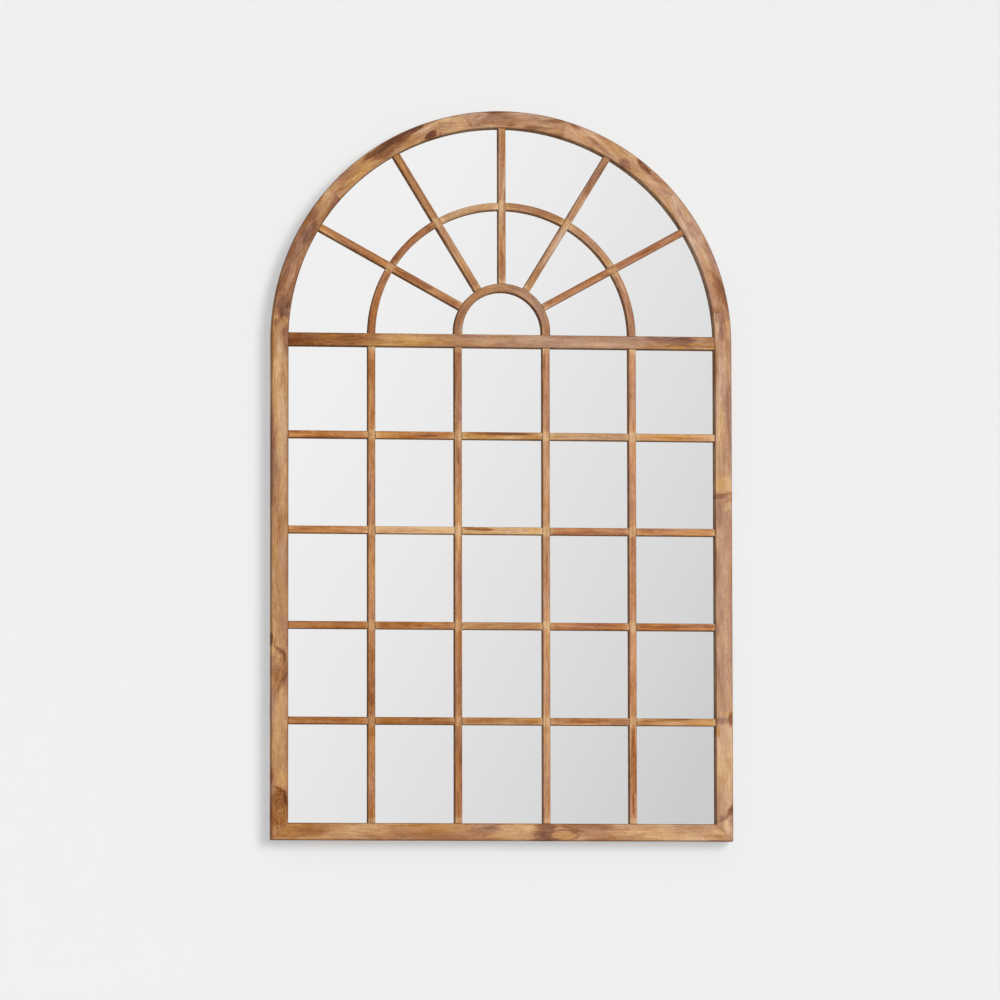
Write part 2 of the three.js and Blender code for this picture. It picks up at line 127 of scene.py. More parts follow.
def larger(tree, a, b):
    return calculate(tree, "MAXIMUM", a, b)


def smaller(tree, a, b):
    return calculate(tree, "MINIMUM", a, b)


def absolute(tree, value):
    return calculate(tree, "ABSOLUTE", value)


def length_of(tree, a, b):
    """The length of a vector with these two parts."""
    return calculate(tree, "SQRT", multiply_add(tree, a, a, multiply(tree, b, b)))


def vector_step(tree, operation, a, b):
    return add_node(tree, "VectorMath", {0: a, 1: b}, operation=operation).outputs[0]


def ease(tree, value, start, end, low=0.0, high=1.0):
    return add_node(tree, "MapRange", {
        "Value": value, "From Min": start, "From Max": end, "To Min": low, "To Max": high,
    }, interpolation_type="SMOOTHSTEP").outputs[0]


def blend(tree, share, a, b, way="MIX"):
    return add_node(tree, "Mix", {0: share, 6: a, 7: b}, data_type="RGBA", blend_type=way).outputs[2]


def ramp(tree, value, stops):
    made = add_node(tree, "ValToRGB", {0: value})
    while len(made.color_ramp.elements) < len(stops):
        made.color_ramp.elements.new(1.0)
    for element, (place, colour) in zip(made.color_ramp.elements, stops):
        element.position = place
        element.color = colour
    return made.outputs[0]


def noise(tree, place, scale=1.0, detail=2.0, roughness=0.5, distortion=0.0):
    return add_node(tree, "TexNoise", {
        "Vector": place, "Scale": scale, "Detail": detail, "Roughness": roughness, "Distortion": distortion,
    }).outputs["Fac"]


def object_place(tree):
    return add_node(tree, "TexCoord").outputs["Object"]


def grey(level):
    return (level, level, level, 1.0)


def colour(red, green, blue):
    """A colour as it looks on a screen, from 0 to 255, turned into light."""
    def light(part):
        part /= 255
        return part / 12.92 if part <= 0.04045 else ((part + 0.055) / 1.055) ** 2.4
    return (light(red), light(green), light(blue), 1.0)


def uneven_grey(tree, pattern, level):
    share = ease(tree, pattern, 0.3, 0.7)
    return blend(tree, share, grey(level * (1 - unevenness)), grey(level * (1 + unevenness)))


def parts_of(tree, vector):
    return add_node(tree, "SeparateXYZ", {0: vector}).outputs


def new_material(name):
    made = bpy.data.materials.new(name)
    made.use_nodes = True
    made.node_tree.nodes.clear()
    return made, made.node_tree


def surface(tree, shader):
    add_node(tree, "OutputMaterial", {"Surface": shader})


def principled_surface(tree, values):
    surface(tree, add_node(tree, "BsdfPrincipled", values).outputs[0])


def mesh_piece(name, shape, material):
    data = bpy.data.meshes.new(name)
    shape.normal_update()
    shape.to_mesh(data)
    shape.free()
    data.materials.append(material)
    made = bpy.data.objects.new(name, data)
    scene.collection.objects.link(made)
    return made


def flat_sheet(name, corners, material):
    shape = bmesh.new()
    shape.faces.new([shape.verts.new(corner) for corner in corners])
    sheet = mesh_piece(name, shape, material)


wall_paint, tree = new_material("wall paint")
place = object_place(tree)
x, y, z = parts_of(tree, place)
rise = larger(tree, subtract(tree, z, spring_line), 0.0)
reach = length_of(tree, x, rise)
behind = multiply(tree, calculate(tree, "LESS_THAN", reach, outer_radius - wall_overlap),
                  calculate(tree, "GREATER_THAN", z, bottom_edge + wall_overlap))
rays = add_node(tree, "LightPath").outputs
lighting = larger(tree, rays["Is Shadow Ray"], rays["Is Diffuse Ray"])
lighting = multiply(tree, lighting, calculate(tree, "LESS_THAN", rays["Ray Depth"], 1.5))
open_wall = multiply(tree, behind, lighting)
from_back = add_node(tree, "NewGeometry").outputs["Backfacing"]
see_through = larger(tree, open_wall, from_back)
roller = noise(tree, place, 900.0, 3.0)
paint = uneven_grey(tree, roller, wall_shade)
painted = add_node(tree, "BsdfDiffuse", {"Color": paint, "Roughness": 0.4}).outputs[0]
clear = add_node(tree, "BsdfTransparent").outputs[0]
surface(tree, add_node(tree, "MixShader", {0: see_through, 1: painted, 2: clear}).outputs[0])
flat_sheet("wall", [
    (-room_reach, 0, floor_height), (room_reach, 0, floor_height),
    (room_reach, 0, room_reach), (-room_reach, 0, room_reach),
], wall_paint)

floor_finish, tree = new_material("floor finish")
from_below = add_node(tree, "NewGeometry").outputs["Backfacing"]
screed = uneven_grey(tree, noise(tree, object_place(tree), 2.0, 5.0), floor_shade)
rays = add_node(tree, "LightPath").outputs
shown = larger(tree, rays["Is Camera Ray"], rays["Is Glossy Ray"])
laid = add_node(tree, "BsdfDiffuse", {"Color": blend(tree, shown, grey(floor_bounce), screed)}).outputs[0]
clear = add_node(tree, "BsdfTransparent").outputs[0]
surface(tree, add_node(tree, "MixShader", {0: from_below, 1: laid, 2: clear}).outputs[0])
flat_sheet("floor", [
    (-room_reach, -room_reach, floor_height), (room_reach, -room_reach, floor_height),
    (room_reach, room_reach, floor_height), (-room_reach, room_reach, floor_height),
], floor_finish)

# The far side of the room, which the panes show, grows lighter to the left and upwards. It is
# laid out by where on the mirror the camera sees it, and fades away from straight ahead.
mirror_shine = 0.9
sweep_rise = 0.55
sweep_start = -1.15
sweep_end = 0.75
sweep_fade = (0.97, 0.75)
far_shades = [(0.0, 0.60), (0.16, 0.672), (0.34, 0.737), (0.58, 0.815), (0.80, 0.865), (1.0, 0.875)]
seen_from = sight_target + sight_back * sight_distance

studio = bpy.data.worlds.new("studio")
scene.world = studio
studio.use_nodes = True
tree = studio.node_tree
tree.nodes.clear()
towards = add_node(tree, "TexCoord").outputs["Generated"]
slant = add_node(tree, "VectorMath", {
    0: towards, 1: (-sight_distance, 0.0, sight_distance * sweep_rise),
}, operation="DOT_PRODUCT").outputs["Value"]
across = add(tree, slant, -seen_from.x + sweep_rise * seen_from.z)
step = add_node(tree, "MapRange", {"Value": across, "From Min": sweep_start, "From Max": sweep_end}).outputs[0]
far_side = ramp(tree, step, [(at, grey(shade / mirror_shine)) for at, shade in far_shades])
sideways, forwards, upwards = parts_of(tree, towards)
ahead = larger(tree, multiply(tree, forwards, -1.0), 0.0)
behind = larger(tree, forwards, 0.0)
lit = multiply_add(tree, larger(tree, upwards, 0.0), ceiling_light, soft_light)
lit = multiply_add(tree, calculate(tree, "POWER", behind, 2.0), rear_light, lit)
aside = ease(tree, ahead, *sweep_fade)
far_side = blend(tree, aside, far_side, lit)
rays = add_node(tree, "LightPath").outputs
shown = larger(tree, rays["Is Glossy Ray"], rays["Is Transmission Ray"])
seen = blend(tree, rays["Is Camera Ray"], far_side, grey(wall_shade))
light = blend(tree, larger(tree, shown, rays["Is Camera Ray"]), lit, seen)
add_node(tree, "OutputWorld", {"Surface": add_node(tree, "Background", {0: light}).outputs[0]})

for name, strength, side, shadow in lamps:
    lamp = bpy.data.objects.new(name, bpy.data.lights.new(name, "SUN"))
    lamp.data.energy = strength
    lamp.data.angle = lamp_spread
    lamp.data.use_shadow = shadow
    lamp.visible_glossy = False
    lamp.rotation_mode = "QUATERNION"
    lamp.rotation_quaternion = Vector(side).to_track_quat("Z", "Y")
    scene.collection.objects.link(lamp)


# Stiles. Two boards of oiled hardwood, whole from the mitre at the foot to the curved horn that
# carries each past the springing. The left one is golden and has two knots low down, the right
# one is paler and pinker. Both are planed, eased along the arris, sanded and oiled.
frame_middle = 0.5875
frame_half = 0.0225
frame_arris = 0.0025
stile_middle_height = -0.6
inner_corner = Vector((0.565, 0.0, -1.245))


def new_group(name, inputs, outputs):
    made = bpy.data.node_groups.new(name, "ShaderNodeTree")
    for title, kind, value in inputs:
        socket = made.interface.new_socket(name=title, in_out="INPUT", socket_type="NodeSocket" + kind)
        if value is not None:
            socket.default_value = value
    for title, kind in outputs:
        made.interface.new_socket(name=title, in_out="OUTPUT", socket_type="NodeSocket" + kind)
    return made, made.nodes.new("NodeGroupInput").outputs, made.nodes.new("NodeGroupOutput").inputs


def use_group(tree, group, values):
    return add_node(tree, "Group", values, node_tree=group).outputs


def drawn_noise(tree, grain, along, across, detail=2.0, roughness=0.5, distortion=0.0):
    """Noise drawn out along the grain, with so many waves to the metre along and across it."""
    drawn = vector_step(tree, "MULTIPLY", grain, (along, across, across))
    return noise(tree, drawn, 1.0, detail, roughness, distortion)


def centred(tree, value):
    return subtract(tree, value, 0.5)


def figure(tree, grain, *drawing):
    return centred(tree, drawn_noise(tree, grain, *drawing))


# How tone and warmth drift through a board, and two kinds of unevenness that its marks share
slow_drift = 0.75
cloud_drift = 0.3
warmth_drift = 1.2
board_drift, given, out = new_group("board drift", [
    ("Grain", "Vector", None), ("Drift", "Float", 1.0), ("Fineness", "Float", 1.0),
], [("Tone", "Float"), ("Warmth", "Float"), ("Wander", "Float"), ("Streaks", "Float")])
tree = board_drift
fineness = add_node(tree, "CombineXYZ", {0: 1.0, 1: given["Fineness"], 2: given["Fineness"]}).outputs[0]
slow = drawn_noise(tree, vector_step(tree, "MULTIPLY", given["Grain"], fineness), 5.0, 26.0, 3.0, 0.55, 0.8)
cloud = drawn_noise(tree, vector_step(tree, "ADD", given["Grain"], (2.1, 7.7, 0.4)), 26.0, 75.0, 3.0, 0.55, 0.6)
change = multiply_add(tree, centred(tree, cloud), cloud_drift, multiply(tree, centred(tree, slow), slow_drift))
tree.links.new(multiply(tree, change, given["Drift"]), out["Tone"])
warm = drawn_noise(tree, vector_step(tree, "ADD", given["Grain"], (3.7, 1.9, 5.3)), 6.0, 34.0, 2.0, 0.5, 0.6)
tree.links.new(multiply(tree, multiply(tree, centred(tree, warm), warmth_drift), given["Drift"]), out["Warmth"])
tree.links.new(figure(tree, given["Grain"], 30.0, 90.0, 3.0, 0.6, 0.5), out["Wander"])
tree.links.new(figure(tree, given["Grain"], 14.0, 380.0, 3.0, 0.6), out["Streaks"])

# A mark in the wood, such as a flame of heartwood: pointed at both ends, with a feathered edge
edge_waver = 2.0
wood_mark, given, out = new_group("wood mark", [
    ("Place", "Vector", None), ("Tone", "Float", 0.5), ("Warmth", "Float", 0.5),
    ("Wander", "Float", 0.0), ("Streaks", "Float", 0.0),
    ("Centre", "Vector", (0, 0, 0)), ("Turn", "Float", 0.0), ("Reach", "Vector", (0.1, 1.0, 0.01)),
    ("Mark tone", "Float", 0.2), ("Mark warmth", "Float", 0.5), ("Strength", "Float", 1.0),
    ("Roundness", "Float", 1.0), ("Blur", "Float", 0.5),
], [("Tone", "Float"), ("Warmth", "Float")])
tree = wood_mark
offset = vector_step(tree, "SUBTRACT", given["Place"], given["Centre"])
turned = add_node(tree, "VectorRotate", {
    "Vector": offset, "Angle": given["Turn"],
}, rotation_type="Y_AXIS").outputs[0]
along, depth, across = parts_of(tree, vector_step(tree, "DIVIDE", turned, given["Reach"]))
sideways = calculate(tree, "POWER", absolute(tree, across), given["Roundness"])
distance = multiply_add(tree, along, along, sideways)
uneven = multiply_add(tree, given["Wander"], edge_waver, multiply(tree, given["Streaks"], edge_waver))
uneven = multiply(tree, uneven, add(tree, given["Blur"], 0.5))
distance = subtract(tree, add(tree, distance, uneven), 1.0)
share = ease(tree, calculate(tree, "DIVIDE", distance, given["Blur"]), 1.0, -1.0)
share = multiply(tree, share, given["Strength"])
for title in ("Tone", "Warmth"):
    change = subtract(tree, given["Mark " + title.lower()], given[title])
    tree.links.new(multiply_add(tree, change, share, given[title]), out[title])

# A knot: rings about its heart, a dark rim, and grain that flows round it
ring_darkness = 0.20
heart_darkness = 0.02
rim_darkness = 0.10
grain_pull = -0.7
wood_knot, given, out = new_group("wood knot", [
    ("Grain", "Vector", None), ("Tone", "Float", 0.5), ("Centre", "Vector", (0, 0, 0)),
    ("Reach", "Vector", (0.03, 1.0, 0.016)), ("Rings", "Float", 4.0), ("Strength", "Float", 1.0),
], [("Grain", "Vector"), ("Tone", "Float")])
tree = wood_knot
offset = vector_step(tree, "SUBTRACT", given["Grain"], given["Centre"])
ripple = figure(tree, given["Grain"], 90.0, 90.0, 2.0)
along, depth, across = parts_of(tree, vector_step(tree, "DIVIDE", offset, given["Reach"]))
distance = length_of(tree, along, across)
distance = multiply_add(tree, ripple, 0.5, distance)
ring = calculate(tree, "SINE", multiply(tree, multiply(tree, distance, given["Rings"]), math.tau))
inside = ease(tree, distance, 1.2, 0.9)
darker = multiply_add(tree, ease(tree, ring, 0.0, 0.9), ring_darkness, heart_darkness)
rim = multiply(tree, ease(tree, distance, 1.3, 1.0), ease(tree, distance, 0.75, 1.0))
darker = multiply_add(tree, rim, rim_darkness, multiply(tree, darker, inside))
darker = multiply(tree, darker, given["Strength"])
tree.links.new(subtract(tree, given["Tone"], darker), out["Tone"])
pull = multiply(tree, ease(tree, distance, 2.6, 0.3), grain_pull)
pulled = add_node(tree, "CombineXYZ", {2: multiply(tree, parts_of(tree, offset)[2], pull)}).outputs[0]
tree.links.new(vector_step(tree, "ADD", given["Grain"], pulled), out["Grain"])

# Oiled hardwood: growth rings, streaks, fibres and pores in the tone that is given
rings_per_metre = 150.0
ring_ripple = 0.006
ring_shade = -0.07
streak_shade = 0.48
fleck_shade = 0.42
fibre_shade = 0.25
pore_shade = -0.09
sanded_shade = 0.16
scratch_shade = 0.8
sanded_warmth = 0.6
sanded_pull = 0.8
red_tint = (1.067, 0.873, 0.957, 1.0)
# How far the painted shade on edges and side faces, and the glue lines, darken the wood
shade_and_joint_share = 0.62
dry_share = 0.4
tone_steps = (0.0, 0.16, 0.34, 0.46, 0.58, 0.70, 0.82, 0.96)
cool_shades = ((95, 61, 50), (118, 80, 65), (142, 102, 82), (158, 117, 96),
               (173, 132, 109), (187, 148, 123), (200, 164, 136), (215, 184, 156))
warm_shades = ((109, 60, 25), (134, 79, 34), (158, 102, 47), (172, 118, 60),
               (185, 134, 75), (199, 150, 88), (211, 166, 106), (227, 184, 130))

oiled_wood, given, out = new_group("oiled hardwood", [
    ("Grain", "Vector", None), ("Tone", "Float", 0.55), ("Warmth", "Float", 0.5),
    ("Redness", "Float", 0.0), ("Edge", "Float", 0.0), ("Sanded", "Float", 0.0), ("Bare", "Float", 0.0),
], [("Color", "Color"), ("Roughness", "Float"), ("Height", "Float")])
tree = oiled_wood
bend = figure(tree, given["Grain"], 4.0, 18.0, 2.0)
ripple = figure(tree, given["Grain"], 24.0, 120.0, 2.0)
along, depth, across = parts_of(tree, given["Grain"])
pith_across = multiply_add(tree, bend, 0.10, across)
pith_depth = multiply_add(tree, along, 0.04, add(tree, depth, 0.06))
ring_radius = multiply_add(tree, ripple, ring_ripple, length_of(tree, pith_across, pith_depth))
ring_phase = calculate(tree, "FRACT", multiply(tree, ring_radius, rings_per_metre))
late_wood = multiply(tree, ease(tree, ring_phase, 0.2, 0.85), ease(tree, ring_phase, 1.0, 0.88))
streaks = figure(tree, given["Grain"], 9.0, 240.0, 4.0, 0.65, 0.3)
flecks = figure(tree, given["Grain"], 130.0, 420.0, 3.0, 0.6)
fine = figure(tree, given["Grain"], 40.0, 1300.0, 3.0, 0.6)
scratches = figure(tree, given["Grain"], 900.0, 300.0, 2.0)
pore_field = drawn_noise(tree, vector_step(tree, "ADD", given["Grain"], (1.3, 4.1, 2.7)), 130.0, 2400.0, 1.0)
pores = ease(tree, pore_field, 0.60, 0.70)
tone = multiply_add(tree, late_wood, ring_shade, given["Tone"])
tone = multiply_add(tree, streaks, streak_shade, tone)
tone = multiply_add(tree, flecks, fleck_shade, tone)
tone = multiply_add(tree, fine, fibre_shade, tone)
tone = multiply_add(tree, pores, pore_shade, tone)
tone = multiply_add(tree, given["Sanded"], multiply_add(tree, scratches, scratch_shade, sanded_shade), tone)
cool_brown = ramp(tree, tone, [(at, colour(*shade)) for at, shade in zip(tone_steps, cool_shades)])
warm_brown = ramp(tree, tone, [(at, colour(*shade)) for at, shade in zip(tone_steps, warm_shades)])
levelled = multiply(tree, given["Sanded"], subtract(tree, sanded_warmth, given["Warmth"]))
warmth = multiply_add(tree, levelled, sanded_pull, given["Warmth"], clamp=True)
redness = multiply(tree, given["Redness"], multiply_add(tree, given["Sanded"], -sanded_pull, 1.0))
oiled = blend(tree, warmth, cool_brown, warm_brown)
oiled = blend(tree, redness, oiled, blend(tree, 1.0, oiled, red_tint, "MULTIPLY"))
# Painted shade: the Edge mask darkens the eased arrises and the side faces towards a dark brown, and it also
# draws the dark glue lines of the joints
with_shade_and_joints = blend(tree, multiply(tree, given["Edge"], shade_and_joint_share), oiled, colour(74, 44, 26))
dry = blend(tree, dry_share, oiled, colour(196, 166, 132))
tree.links.new(blend(tree, given["Bare"], with_shade_and_joints, dry), out["Color"])
sheen = multiply_add(tree, tone, -0.12, 0.60)
sheen = multiply_add(tree, pores, 0.15, sheen)
sheen = multiply_add(tree, given["Edge"], 0.30, sheen)
tree.links.new(multiply_add(tree, given["Bare"], 0.2, sheen, clamp=True), out["Roughness"])
relief = multiply_add(tree, pores, -0.8, fine)
tree.links.new(multiply_add(tree, late_wood, 0.35, relief), out["Height"])

joint_line = 0.0022
# How dark the painted shade along the arrises is, and the glue lines at the ends of bars
arris_shade_and_joint = 0.7
# How dark the painted shade on the side faces is
side_shade = 0.28
grain_depth = 0.00012
oil_shine = 0.12
thrown_share = 0.8
thrown_shade = 0.28


def straight_grain(centre, degrees):
    """Grain at an angle up from the right: x goes along it, y into the wall, z across."""
    return lambda tree: add_node(tree, "Mapping", {
        "Vector": object_place(tree), "Location": centre, "Rotation": (0.0, -math.radians(degrees), 0.0),
    }, vector_type="TEXTURE").outputs[0]


def arris_nearness(tree, across, half, arris):
    """How far a place lies on the eased edge of a board, the mask for the painted shade along the arris."""
    return ease(tree, absolute(tree, across), half - 1.5 * arris, half - 0.4 * arris)


def across_frame(tree):
    """Distance from the middle line of the stiles and of the arch, positive outwards."""
    x, y, z = parts_of(tree, object_place(tree))
    rise = larger(tree, subtract(tree, z, spring_line), 0.0)
    return subtract(tree, length_of(tree, x, rise), frame_middle)


def mitre_line(tree):
    """The dark glue line of the corner joints."""
    x, y, z = parts_of(tree, object_place(tree))
    past = subtract(tree, absolute(tree, x), inner_corner.x)
    past = add(tree, past, subtract(tree, z, inner_corner.z))
    return ease(tree, absolute(tree, past), joint_line, 0.0004, 0.0, 0.5)


def frame_edge(tree, grain):
    # Painted shade along the arrises, and the dark glue line of the mitres
    edge = arris_nearness(tree, across_frame(tree), frame_half, frame_arris)
    return larger(tree, multiply(tree, edge, arris_shade_and_joint), mitre_line(tree))


def mark(x, z, turn, length, width, tone, warmth, strength=0.8, roundness=1.0, blur=0.5):
    """A mark at x and z in millimetres, turned in degrees up from the right, with its half sizes."""
    return {
        "Centre": (x / 1000, 0.0, z / 1000), "Turn": math.radians(turn),
        "Reach": (length / 1000, 1.0, width / 1000), "Mark tone": tone, "Mark warmth": warmth,
        "Strength": strength, "Roundness": roundness, "Blur": blur,
    }


def knot(along, across, length, width, rings, strength):
    """A knot at a place along and across the grain in millimetres, with its half sizes."""
    return {
        "Centre": (along / 1000, 0.0, across / 1000), "Reach": (length / 1000, 1.0, width / 1000),
        "Rings": rings, "Strength": strength,
    }


def wood_finish(name, lay_grain, seed, tone, warmth, edge, marks=(), knots=(), sanded=None,
                red=0.0, drift=1.0, fineness=1.0):
    """The finish of one board: how its grain lies, its tone, how red it is, and its marks and
    knots, each a row of what mark or knot takes."""
    made, tree = new_material(name)
    laid = lay_grain(tree)
    grain = laid
    knot_tone = 0.0
    for row in knots:
        bent = use_group(tree, wood_knot, {"Grain": grain, "Tone": knot_tone, **knot(*row)})
        grain, knot_tone = bent["Grain"], bent["Tone"]
    grain = vector_step(tree, "ADD", grain, (1.37 * seed, 0.0, 0.73 * seed))
    loose = use_group(tree, board_drift, {"Grain": grain, "Drift": drift, "Fineness": fineness})
    uneven = {"Place": object_place(tree), "Wander": loose["Wander"], "Streaks": loose["Streaks"]}
    own = {"Tone": tone, "Warmth": warmth}
    for row in marks:
        own = use_group(tree, wood_mark, {"Tone": own["Tone"], "Warmth": own["Warmth"], **uneven, **mark(*row)})
    facing = parts_of(tree, add_node(tree, "TexCoord").outputs["Normal"])[1]
    side = ease(tree, absolute(tree, facing), 0.5, 0.2)
    edge_here = multiply(tree, edge(tree, laid), ease(tree, facing, -0.3, -0.6))
    shown = {
        "Grain": grain, "Tone": add(tree, add(tree, own["Tone"], loose["Tone"]), knot_tone),
        "Warmth": add(tree, own["Warmth"], loose["Warmth"]), "Redness": red,
        # Edge: painted shade on the side faces and along the front arrises, with the dark glue lines
        "Edge": multiply_add(tree, side, side_shade, edge_here), "Bare": ease(tree, facing, 0.6, 0.8),
    }
    if sanded:
        shown["Sanded"] = sanded(tree, laid)
    finish = use_group(tree, oiled_wood, shown)
    bump = add_node(tree, "Bump", {"Height": finish["Height"], "Distance": grain_depth, "Strength": 0.6})
    # To light bouncing off it the wood shows mostly a dark grey, so the light it throws back on the wall
    # carries little of its colour
    thrown = multiply(tree, add_node(tree, "LightPath").outputs["Is Diffuse Ray"], thrown_share)
    principled_surface(tree, {
        "Base Color": blend(tree, thrown, finish["Color"], grey(thrown_shade)),
        "Roughness": larger(tree, finish["Roughness"], side),
        "Normal": bump.outputs[0], "Specular IOR Level": oil_shine,
    })
    return made


def dress(name, material):
    pieces[name].data.materials.clear()
    pieces[name].data.materials.append(material)


left_horn_joint = (-582, 107, 98, 40, 20, 0.26, 0.12, 0.9)
right_horn_joint = (583, 99, 83, 30, 22, 0.48, 0.15, 0.85)
dress("left_stile", wood_finish(
    "left stile wood", straight_grain((-frame_middle, 0.0, stile_middle_height), 90),
    1.0, 0.61, 0.52, frame_edge,
    knots=[(-232, 3, 40, 19, 3.0, 0.45), (-610, 0, 46, 23, 4.0, 0.85)],
    marks=[
        # The horn: a dark cloud, and a golden patch by the inner edge
        left_horn_joint, (-573, 96, 95, 26, 9, 0.18, 0.1), (-576, 72, 95, 14, 8, 0.62, 0.9),
        (-598, 68, 60, 12, 7, 0.26, 0.3), (-580, 40, 60, 34, 8, 0.30, 0.2),
        (-568, 20, 90, 40, 12, 0.34, 0.2), (-606, -10, 90, 90, 8, 0.40, 0.75, 0.85),
        # A golden flame with its point near the transom, and the purple streak beside it
        (-589, -135, 90, 175, 20, 0.82, 0.5, 0.85),
        (-610, -285, 90, 125, 13, 0.40, 0.1), (-609, -392, 90, 30, 10, 0.30, 0.2, 0.6),
        (-579, -330, 90, 120, 8, 0.80, 0.5, 0.7),
        # The upper knot: a smudge, dark sweeps, and gold under them
        (-610, -766, 90, 18, 7, 0.12, 0.3, 0.9), (-600, -782, 130, 14, 4, 0.32, 0.5, 0.7),
        (-588, -795, 140, 19, 5, 0.24, 0.5, 0.85), (-576, -806, 95, 20, 4, 0.28, 0.4, 0.8),
        (-607, -797, 100, 19, 5, 0.76, 0.8, 0.85), (-590, -813, 90, 14, 8, 0.60, 0.8, 0.6),
        (-600, -850, 90, 34, 10, 0.50, 0.35, 0.7), (-583, -882, 65, 34, 7, 0.34, 0.25, 0.8),
        (-605, -925, 80, 60, 8, 0.42, 0.25, 0.7), (-584, -975, 90, 100, 14, 0.80, 0.6),
        # The lower knot: gold above it, orange-brown rings, and a thin dark crescent on its shoulder
        (-609, -1122, 90, 22, 6, 0.34, 0.6), (-584, -1132, 90, 24, 17, 0.76, 0.8, 0.8),
        (-588, -1206, 90, 48, 26, 0.47, 0.85, 0.9, 2.0), (-584, -1160, 155, 22, 4, 0.22, 0.7, 0.85),
        (-574, -1178, 98, 24, 5, 0.12, 0.6, 0.9), (-596, -1262, 60, 13, 6, 0.68, 0.6, 0.7),
        (-607, -1256, 90, 46, 5, 0.38, 0.8, 0.7),
    ]))
dress("right_stile", wood_finish(
    "right stile wood", straight_grain((frame_middle, 0.0, stile_middle_height), 90),
    2.0, 0.74, 0.22, frame_edge, red=0.12, marks=[
        # The horn is purplish, with a golden spot, and reddens at the inner edge
        right_horn_joint, (577, 120, 80, 40, 10, 0.50, 0.0), (600, 70, 90, 22, 10, 0.70, 0.6, 0.7),
        (584, 55, 90, 26, 9, 0.50, 0.0, 0.7), (567, -40, 90, 62, 8, 0.50, 0.6, 0.7),
        (577, -165, 90, 72, 9, 0.86, 0.55, 0.8), (603, -140, 90, 70, 8, 0.54, 0.0, 0.7),
        (590, -260, 90, 50, 9, 0.56, 0.0, 0.5),
        # A yellow band across the board, with a purple patch and bright spots under it
        (588, -352, 90, 26, 34, 0.92, 0.68, 0.9), (578, -380, 5, 20, 7, 0.42, 0.1, 0.85, 2.0),
        (601, -373, 10, 16, 4, 0.48, 0.8, 0.7), (603, -391, 20, 12, 5, 0.58, 1.0, 0.9),
        (598, -406, 60, 16, 8, 0.88, 0.55, 0.85), (577, -432, 90, 34, 9, 0.54, 0.0, 0.7),
        (567, -564, 90, 58, 7, 0.52, 0.5, 0.7), (590, -640, 90, 90, 8, 0.88, 0.4, 0.7),
        (583, -850, 90, 80, 14, 0.56, 0.0, 0.7),
        # Bright and dark spots side by side, and the long pale stretch below
        (592, -953, 0, 18, 6, 0.76, 0.8, 0.8), (581, -974, 0, 20, 9, 0.42, 0.05, 0.85, 2.0),
        (604, -970, 90, 18, 7, 0.22, 0.6, 0.85), (590, -1095, 90, 112, 26, 0.86, 0.45),
        (571, -1000, 90, 18, 6, 0.56, 1.0, 0.9), (602, -1212, 58, 26, 7, 0.20, 0.5, 0.9),
        (583, -1230, 40, 18, 7, 0.46, 0.1, 0.7), (595, -1252, 120, 20, 8, 0.88, 0.5),
    ]))


# Bottom rail. A board of the same hardwood, mitred into both stiles, with the feet of the
# vertical bars in its top edge. Golden, with a dark heart patch right of the middle that holds
# an orange lens.
rail_middle_height = -1.2675


def rail_edge(tree, grain):
    # Painted shade along the arrises, and the dark glue line of the mitres
    edge = arris_nearness(tree, parts_of(tree, grain)[2], frame_half, frame_arris)
    return larger(tree, multiply(tree, edge, arris_shade_and_joint), mitre_line(tree))


dress("bottom_rail", wood_finish(
    "bottom rail wood", straight_grain((0.0, 0.0, rail_middle_height), 0),
    3.0, 0.61, 0.52, rail_edge, red=0.1, marks=[
        (-545, -1268, 0, 75, 26, 0.46, 0.8, 0.85), (-215, -1267, 0, 95, 24, 0.48, 0.6, 0.8),
        (-385, -1264, 8, 70, 12, 0.80, 0.6, 0.7), (-322, -1270, 10, 26, 6, 0.80, 0.6, 0.6),
        (-55, -1262, 5, 42, 12, 0.50, 0.2, 0.5), (32, -1268, 8, 66, 24, 0.85, 0.6, 0.85),
        (112, -1266, 90, 60, 26, 0.24, 0.2, 0.9), (232, -1264, 160, 85, 26, 0.50, 0.4),
        (500, -1268, 0, 80, 26, 0.86, 0.35, 0.85), (312, -1266, 165, 40, 20, 0.74, 0.3, 0.6),
        (160, -1274, 0, 44, 15, 0.26, 0.3, 0.9, 2.0, 0.25),
        (160, -1275, 0, 34, 11, 0.60, 0.78, 0.95, 2.0, 0.2),
        (184, -1259, 165, 30, 6, 0.28, 0.5, 0.7),
        (415, -1266, 168, 135, 30, 0.88, 0.45, 0.9), (420, -1263, 162, 42, 4, 0.90, 0.5, 0.6),
        (535, -1252, 0, 32, 8, 0.60, 0.1, 0.5),
    ]))


# Arch. Five segments sawn from straight boards, so the grain of each follows its own chord and
# is cut off at the radial joints. They join end to end with tongues. The boards were chosen so
# that the tones meet at the joints.
segment_turn = 32.8
first_segment_turn = 155.6


def arch_mark(grain, turn, outwards, lean, *rest):
    """A mark placed by its angle round the arch and its distance out from the middle line."""
    radius = frame_middle * 1000 + outwards
    x = radius * math.cos(math.radians(turn))
    z = spring_line * 1000 + radius * math.sin(math.radians(turn))
    return (x, z, grain - 90 - lean, *rest)


first_joint = (139.2, 2, 0, 34, 18, 0.63, 0.50, 0.9)
second_joint = (106.4, 3, 0, 34, 24, 0.71, 0.50, 0.9)
third_joint = (73.6, 2, 0, 30, 18, 0.64, 0.30, 0.9)
fourth_joint = (40.8, 0, 0, 36, 26, 0.82, 0.20, 0.9)
